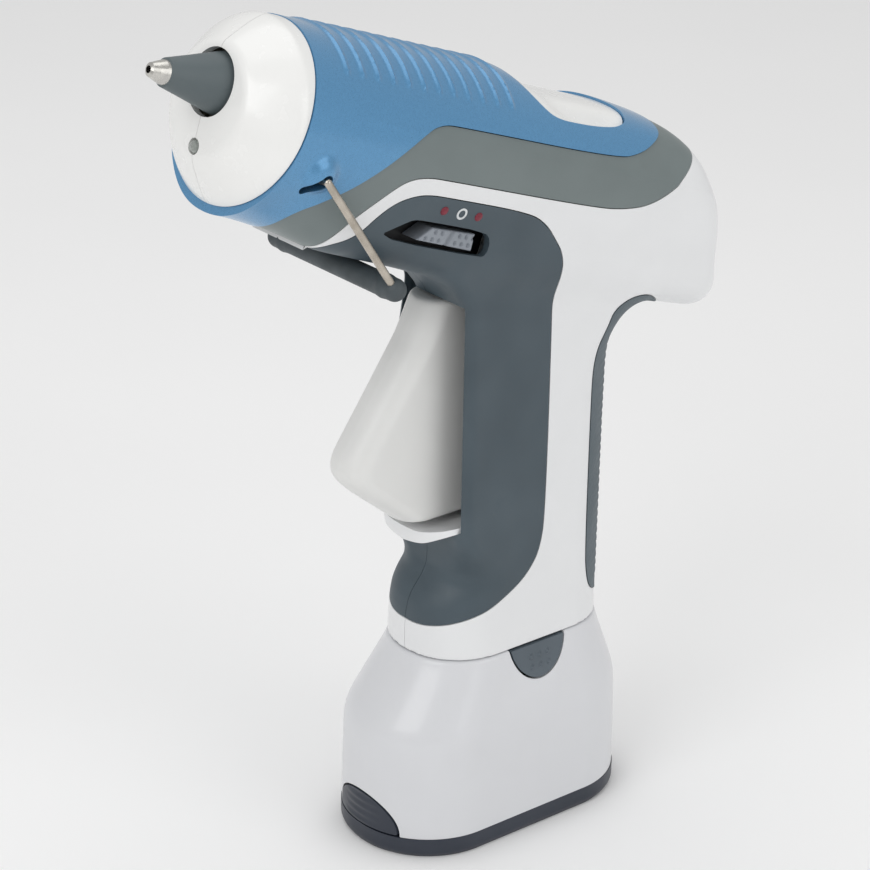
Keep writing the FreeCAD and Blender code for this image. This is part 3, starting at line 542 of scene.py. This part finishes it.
def cover_skin(x, s, m):
    """The ribbed cover with the domes that the stand turns in."""
    body = barrel_body(x, s, m) - COVER_RISE - ribbed(x, s, m)
    across, ahead, above = np.abs(x) - DOME_X, s - stand_s + DOME_AHEAD, m - stand_m - DOME_ABOVE
    dome = np.sqrt(across ** 2 + ahead ** 2 + above ** 2) - DOME_R
    return smooth_min(body, dome, 0.7)


def wire_slot(x, s, m):
    """Positive in the hole of the stand's wire and the slot that runs on from it, forwards and down."""
    ds, dm = s - stand_s, m - stand_m
    along = np.clip(-(ds + dm) / (2 * SLOT_REACH), 0, 1)
    away = np.hypot(ds + SLOT_REACH * along, dm + SLOT_REACH * along)
    return np.where(np.abs(x) > 15, 1.7 - 0.6 * along - away, CLEAR)


def cover_form(x, s, m):
    skin = cover_skin(x, s, m)
    window = np.where(m > 5, -window_zone(x, s) + GAP, CLEAR)
    return [
        skin, -(barrel_body(x, s, m) + WALL), blue_zone(s, m) + GAP, seam(m) + GAP - s,
        wire_slot(x, s, m), window]


moulding("cover_skin", (-25.6, -147, -30), (25.6, -17, 26), cover_form, BLUE, "housing",
         ("barrel_cover",), step=0.45)


SCOOP_X, SCOOP_S = 14.6, -48.0
SCOOP_HALF_WIDTH, SCOOP_HALF_LENGTH = 2.6, 11.5
SCOOP_DEPTH = 1.9
WINDOW_SINK, WINDOW_THICKNESS = 0.3, 4.5


def window_skin(x, s, m):
    """The insert lies a little below the cover and is scooped along both edges."""
    across, along = (np.abs(x) - SCOOP_X) / SCOOP_HALF_WIDTH, (s - SCOOP_S) / SCOOP_HALF_LENGTH
    return barrel_body(x, s, m) + WINDOW_SINK + SCOOP_DEPTH * np.exp(-across ** 2 - along ** 4)


def window_form(x, s, m):
    return [
        window_skin(x, s, m), -(barrel_body(x, s, m) + WINDOW_THICKNESS), window_zone(x, s) + GAP, 6.0 - m]


moulding("window_skin", (-20, -75, 8), (20, -31, 25), window_form, NOSE_WHITE, "housing",
         ("window_insert",))


# Trim band, grip overmould, strap and body shells

def band_form(hand):
    def form(x, s, m):
        body = barrel_body(x, s, m)
        return [
            body, -(body + WALL), band_zone(s, m) + GAP, GAP - blue_zone(s, m), side_of(x, hand)]
    return form


def switch_cut(x, s, m):
    return np.where(x > 10, -slot_zone(s, m), CLEAR)


mouth_floor = profile([(-20, 95.0), (-15, 91.0), (-8, 87.4), (0, 86.0), (8, 87.4), (15, 91.0),
                       (20, 95.0)], 1.0)
MOUTH_HALF_WIDTH, MOUTH_TOP = 15.0, 153.2
REAR_BORE_R = 8.2
COUNTERBORE_R = 2.9


def mouth_cut(x, y, z):
    """Positive in the mouth that the trigger moves in."""
    inside = np.maximum(np.abs(x) - MOUTH_HALF_WIDTH, np.maximum(z - MOUTH_TOP, mouth_floor(x) - z))
    return np.where(y < 2, -np.maximum(inside, y), CLEAR)


def stick_bore(x, s, m):
    return np.where(s > -20, REAR_BORE_R - np.hypot(x, m - FEED_RISE), CLEAR)


SCREWS = [(25.5, 74.0), (26.5, 118.0), to_row(-30.0, -17.0), to_row(-113.0, -19.5)]
SCREW_FACE = row_box("case_screws")[0][0] + 3.0


def screw_cut(x, y, z):
    """Positive in the counterbores of the case screws, on the gun's right side."""
    best = np.full(np.broadcast(y, z).shape, CLEAR)
    for sy, sz in SCREWS:
        best = np.maximum(best, COUNTERBORE_R - np.hypot(y - sy, z - sz))
    return np.where(x < SCREW_FACE, best, CLEAR)


def grip_piece(hand):
    def form(x, y, z):
        s, m = to_barrel(y, z)
        body = body_form(x, y, z)
        return [
            body, -(body + WALL), grip_zone(y, z) + GAP, GAP - band_zone(s, m), mouth_cut(x, y, z),
            switch_cut(x, s, m), side_of(x, hand), screw_cut(x, y, z)]
    return form


def shell_piece(hand):
    def form(x, y, z):
        s, m = to_barrel(y, z)
        body = body_form(x, y, z)
        open_end = np.where(z < GRIP_LOW + 4, -(body + WALL), CLEAR)
        return [
            body, -(body + WALL), GAP - grip_zone(y, z), GAP - band_zone(s, m), GAP - strap_zone(y, z),
            GAP - blue_zone(s, m), seam(m) + GAP - s, open_end, stick_bore(x, s, m), mouth_cut(x, y, z),
            side_of(x, hand), screw_cut(x, y, z)]
    return form


RIDGE_PITCH = 2.4


def strap_skin(x, y, z):
    """The strap stands a little proud and carries fine cross ridges at the rear."""
    ridges = 0.16 * np.cos(2 * math.pi * z / RIDGE_PITCH) * np.clip((y - 24.5) / 4, 0, 1)
    return body_form(x, y, z) - 0.2 - ridges * np.clip((z - 62) / 3, 0, 1) * np.clip((134 - z) / 6, 0, 1)


def strap_form(x, y, z):
    s, m = to_barrel(y, z)
    return [
        strap_skin(x, y, z), -(body_form(x, y, z) + WALL), strap_zone(y, z) + GAP, screw_cut(x, y, z)]


for name, hand in (("left", 1), ("right", -1)):
    x0, x1 = hand_range(hand, 24.6)
    moulding(f"band_{name}", (x0, -140, -30), (x1, -6, 22), band_form(hand), BAND, "housing",
             (f"trim_band_{name}",))
    moulding(f"grip_{name}", (x0, -70, 58), (x1, 9, 196), grip_piece(hand), SLATE, "housing",
             (f"grip_overmould_{name}",), barrel=False)
    moulding(f"shell_{name}", (x0, -80, GRIP_LOW - 1), (x1, 65, 214), shell_piece(hand), PEARL,
             "housing", (f"body_shell_{name}",), barrel=False)
moulding("strap", (-24, 20, 57), (24, 47, 147), strap_form, STRAP, "housing", ("back_strap",),
         barrel=False)


# Ledge under the trigger and the trigger itself

ledge_top = profile([(-16, 93.2), (-12, 91.8), (-6, 90.6), (0, 90.3), (6, 90.6), (12, 91.8), (16, 93.2)], 0.8)


def ledge_form(x, y, z):
    """A thin tongue that curves with the floor of the mouth and is rounded at the front."""
    plan = rounded_box(x, y + 5.0, MOUTH_HALF_WIDTH - 0.3, 23.0, 11.0)
    return [plan, z - ledge_top(x) + 0.4, mouth_floor(x) - z, y + 10.0]


moulding("ledge", (-15.5, -29, 84), (15.5, -9, 95), ledge_form, PEARL, "housing",
         ("trigger_ledge",), step=0.35, barrel=False)

trigger_front = profile([(86, -25.0), (92.4, -30.6), (105.0, -46.0), (108.6, -49.4), (111.5, -50.0),
                         (114.5, -48.9), (129, -38.6), (142.5, -29.2), (153, -24.2), (160, -22.0)], 1.1)
TRIGGER_LOW, TRIGGER_HIGH = 92.4, 152.4


TRIGGER_HALF_WIDTH = 14.3
RIDGE_R, FRONT_HALF_WIDTH = 7.0, 6.4


def trigger_form(x, y, z):
    """A wedge that narrows to a rounded ridge at its front."""
    front = trigger_front(z)
    behind = np.maximum(y - front, 0)
    share = np.clip(behind / np.maximum(-20.8 - front, 4), 0, 1)
    flat = FRONT_HALF_WIDTH + 8.2 * share
    ridge = np.sqrt(np.maximum(RIDGE_R ** 2 - np.clip(RIDGE_R - behind, 0, RIDGE_R) ** 2, 0))
    side = 0.9 * (np.abs(x) - np.minimum(smooth_min(flat, ridge, 1.2), TRIGGER_HALF_WIDTH))
    nose = 0.8 * (front - y)
    ends = smooth_max(z - TRIGGER_HIGH, TRIGGER_LOW + 0.004 * x * x - z, 1.0)
    faces = smooth_max(smooth_max(side, nose, 1.6), y + 12.0, 0.6)
    return [smooth_max(faces, ends, 1.4)]


moulding("trigger_finger", (-15, -51.5, 91), (15, -11, 154), trigger_form, CREAM, "trigger",
         ("trigger",), step=0.5, barrel=False)


# Slide switch, its marks and the dark tray behind the slot

def skin_x(s, m):
    """Where the gun's left side lies at that barrel position."""
    low, high = 10.0, 30.0
    for _ in range(40):
        middle = 0.5 * (low + high)
        low, high = (middle, high) if barrel_body(middle, s, m) < 0 else (low, middle)
    return low


SLIDER_S, SLIDER_M = -87.8, -17.8
SLIDER_LINE = [(-98.6, -19.7), (-94.0, -15.7), (-79.6, -15.5), (-79.4, -20.3)]
SLIDER_FACE = skin_x(SLIDER_S, SLIDER_M) - 0.3
DIMPLE_ROW = 0.95
UPPER_DIMPLES = (-4.8, -2.6, 3.2, 5.4, 7.6)
LOWER_DIMPLES = (-7.6, -5.4, -3.2, 2.2, 4.4, 6.6)
TRAY_FACE = 14.0


def slider_form(x, s, m):
    """The knob's face has two rows of dimples and a slanted groove between them."""
    ds, dm = s - SLIDER_S, m - SLIDER_M
    knob = polygon(SLIDER_LINE, s, m) + 0.2
    dimples = np.full(np.broadcast(s, m).shape, 9.0)
    for row_m, places in ((DIMPLE_ROW, UPPER_DIMPLES), (-DIMPLE_ROW, LOWER_DIMPLES)):
        for place in places:
            dimples = np.minimum(dimples, np.hypot(ds - place, dm - row_m))
    groove = np.clip(1.4 - np.abs(ds - 0.35 * dm) / 0.6, 0, 1)
    top = x - SLIDER_FACE + 0.7 * groove + 0.6 * np.clip(1.5 - dimples / 0.45, 0, 1)
    return [smooth_max(knob, top, 0.5), TRAY_FACE + 0.6 - x]


moulding("slider", (14, -102.5, -21.5), (22.5, -79, -14), slider_form, SLIDER_GREY, "switch",
         ("switch_slider",), step=0.25)


def tray_form(x, s, m):
    outer = rounded_box(s + 90.4, m - SLIDER_M, 19.2, 4.4, 1.0)
    return [outer, x - TRAY_FACE, TRAY_FACE - 1.1 - x]


moulding("switch_tray", (12, -111, -23), (15, -70, -12), tray_form, BLACK, "housing", (),
         step=0.5)


MARK_M = -11.1
MARK_R, RING_R = 1.15, 1.25


def mark_form(mark_s):
    """A low red dome that follows the gun's side."""
    def form(x, s, m):
        away = np.hypot(s - mark_s, m - MARK_M) / MARK_R
        return [barrel_body(x, s, m) - 0.4 * np.sqrt(np.clip(1 - away ** 2, 0, 1)), MARK_R * (away - 1),
                -barrel_body(x, s, m) - 0.8]
    return form


for i, mark_s in enumerate((-93.4, -82.0)):
    face = skin_x(mark_s, MARK_M)
    moulding(f"status_mark_{i}", (face - 1.6, mark_s - 1.4, MARK_M - 1.4),
             (face + 1.2, mark_s + 1.4, MARK_M + 1.4), mark_form(mark_s), RED,
             "housing", ("status_lenses",) if i == 0 else (), step=0.12)

RING_S = -87.6
ring_face = skin_x(RING_S, MARK_M)


def ring_form(x, s, m):
    around = np.abs(np.hypot(s - RING_S, m - MARK_M) - RING_R)
    skin = barrel_body(x, s, m)
    return [around - 0.28, skin - 0.1, -skin - 0.3]


moulding("mark_ring", (ring_face - 1.2, RING_S - 1.8, MARK_M - 1.8),
         (ring_face + 0.9, RING_S + 1.8, MARK_M + 1.8), ring_form, PRINT, "housing", (),
         step=0.1)


# Battery case and its buttons

case_width = profile([(0, PACK_R), (20, PACK_R - 0.1), (33, PACK_R - 0.5), (36, PACK_R - 1.0), (50, 18.8),
                      (54, 17.8)], 1.6)
case_front = profile([(0, -41.2), (20, -41.1), (33, -40.7), (36, -39.6), (50, -29.4), (54, -27.0)], 1.6)
case_rear = profile([(0, 41.2), (20, 41.1), (33, 40.7), (36, 40.2), (50, 35.0), (54, 33.9)], 1.6)


def case_skin(x, y, z):
    front, rear = case_front(z), case_rear(z)
    width = case_width(z)
    side = rounded_box(x, y - 0.5 * (front + rear), width, 0.5 * (rear - front), width - 0.3)
    return smooth_max(side * 0.95, z - CASE_TOP, 0.8)


def half_disc(a, b, centre, top, half_width, height):
    """Signed distance, roughly, to a half-round with its flat side up."""
    around = (np.hypot((a - centre) / half_width, (b - top) / height) - 1) * min(half_width, height)
    return np.maximum(around, b - top)


RELEASE_Y = 4.0
DOT_PITCH, DOT_ROWS = 2.9, (-3.4, -6.2)


def release_zone(y, z):
    return half_disc(y, z, RELEASE_Y, CASE_TOP + 2.0, 9.4, 11.6)


def latch_zone(x, z):
    return -half_disc(x, -z, 0.0, -(PLATE_TOP + 0.4), 12.0, 9.6)


def case_form(x, y, z):
    skin = case_skin(x, y, z)
    release = np.where(np.abs(x) > 9, -release_zone(y, z) + 0.4, CLEAR)
    latch = np.where(y < -20, latch_zone(x, z) + 0.4, CLEAR)
    return [skin, -(skin + WALL), PLATE_TOP + 0.1 - z, release, latch]


moulding("pack_case", (-24, -43, PLATE_TOP), (24, 43, CASE_TOP + 1), case_form, PACK_PEARL,
         "battery_pack", ("battery_case",), barrel=False)


def release_skin(x, y, z):
    """Six raised dots in two rows on the half-round button."""
    dots = np.full(np.broadcast(y, z).shape, 9.0)
    for i in range(3):
        for dz in DOT_ROWS:
            dots = np.minimum(dots, np.hypot(y - RELEASE_Y - DOT_PITCH * (i - 1), z - CASE_TOP - dz))
    return case_skin(x, y, z) - 0.15 - 0.55 * np.clip(1.6 - dots / 0.5, 0, 1)


def release_form(hand):
    def form(x, y, z):
        return [
            release_skin(x, y, z), -(case_skin(x, y, z) + WALL), release_zone(y, z) + 0.1,
            13.4 - hand * x, z - CASE_TOP + 0.3]
    return form


for name, hand in (("left", 1), ("right", -1)):
    x0, x1 = (12, 24) if hand > 0 else (-24, -12)
    moulding(f"release_{name}", (x0, -7, 41), (x1, 15, CASE_TOP), release_form(hand), BUTTON,
             f"release_{name}", (f"release_button_{name}",), step=0.3, barrel=False)


def latch_skin(x, y, z):
    """The front button has cross grooves over its middle."""
    grooves = np.cos(2 * math.pi * (z - PLATE_TOP) / 2.2) * np.clip(1 - np.abs(x) / 7, 0, 1) ** 0.5
    return case_skin(x, y, z) - 0.1 + 0.12 * grooves


def latch_form(x, y, z):
    return [
        latch_skin(x, y, z), -(case_skin(x, y, z) + WALL), -latch_zone(x, z) + 0.1, y + 20.0]


moulding("latch", (-13, -43, PLATE_TOP), (13, -20, 17), latch_form, NAVY, "base_latch",
         ("base_latch_button",), step=0.35, barrel=False)


PLATE_ROUND = 2.2


def plate_form(x, y, z):
    """The dark foot plate, tucked in at its lower edge."""
    tuck = 0.9 * np.clip(1 - z / PLATE_ROUND, 0, 1) ** 2
    side = rounded_box(x, y, PACK_R - 0.1 - tuck, 41.1 - tuck, 21.8)
    return [side, -z, z - PLATE_TOP]


moulding("base_plate", (-24, -42, 0), (24, 42, PLATE_TOP), plate_form, NAVY, "battery_pack",
         ("battery_base_plate",), barrel=False)


# Rubber foot of the stand

foot_low, foot_high = row_box("stand_foot")
foot_y, foot_z = 0.5 * (foot_low[1:] + foot_high[1:])
foot_r = 0.5 * (foot_high[2] - foot_low[2])


def foot_form(x, y, z):
    """A round sleeve with softened ends and a faint collar near each of them."""
    past = np.abs(x) - foot_high[0]
    along = np.maximum(past + 1.6, 0)
    collar = 0.25 * np.exp(-((past + 5.0) / 1.2) ** 2)
    return [np.hypot(np.hypot(y - foot_y, z - foot_z), along) - foot_r - collar + 0.3]


moulding("foot_sleeve", (foot_low[0] - 1, foot_low[1] - 1, foot_low[2] - 1),
         (foot_high[0] + 1, foot_high[1] + 1, foot_high[2] + 1), foot_form, FOOT, "stand",
         ("stand_foot",), step=0.35, barrel=False)


# Floor, lights and camera

def quad(name, corners, material):
    mesh = bpy.data.meshes.new(name)
    mesh.from_pydata(corners, [], [tuple(range(len(corners)))])
    mesh.materials.append(material)
    item = bpy.data.objects.new(name, mesh)
    bpy.context.scene.collection.objects.link(item)
    return item


FLOOR = surface("floor_paper", (251, 251, 251), (253, 253, 253), (0.8, 0.9), patch=3.0)
quad("floor", [(-6, -6, 0), (6, -6, 0), (6, 6, 0), (-6, 6, 0)], FLOOR)

world = bpy.data.worlds.new("studio")
bpy.context.scene.world = world
world.use_nodes = True
world.node_tree.nodes["Background"].inputs["Color"].default_value = (1.0, 1.0, 1.0, 1.0)
world.node_tree.nodes["Background"].inputs["Strength"].default_value = 0.58


def area_light(name, place, aim, size, power):
    light = bpy.data.lights.new(name, "AREA")
    light.shape = "RECTANGLE"
    light.size, light.size_y = size
    light.energy = power
    item = bpy.data.objects.new(name, light)
    item.location = place
    item.rotation_euler = (Vector(aim) - Vector(place)).to_track_quat("-Z", "Y").to_euler()
    bpy.context.scene.collection.objects.link(item)


CENTRE = (0.0, -0.01, 0.12)
area_light("key", (0.25, -0.95, 0.85), CENTRE, (0.7, 0.7), 3.6)
area_light("fill", (1.0, 0.25, 0.55), CENTRE, (0.8, 0.8), 2.2)
area_light("top", (-0.2, 0.1, 1.2), CENTRE, (0.9, 0.9), 2.6)

camera_data = bpy.data.cameras.new("camera")
camera_data.sensor_width = 36.0
camera_data.lens = 128.3
camera = bpy.data.objects.new("camera", camera_data)
eye = Vector((0.5640, -0.4841, 0.4354))
target = Vector((0.0, -0.0175, 0.1126))
back = (eye - target).normalized()
right = Vector((0, 0, 1)).cross(back).normalized()
up = back.cross(right)
roll = math.radians(1.0)
tilted_right = math.cos(roll) * right + math.sin(roll) * up
tilted_up = math.cos(roll) * up - math.sin(roll) * right
camera.matrix_world = Matrix.Translation(eye) @ Matrix((tilted_right, tilted_up, back)).transposed().to_4x4()
bpy.context.scene.collection.objects.link(camera)
bpy.context.scene.camera = camera
bpy.context.scene.view_settings.view_transform = "Standard"
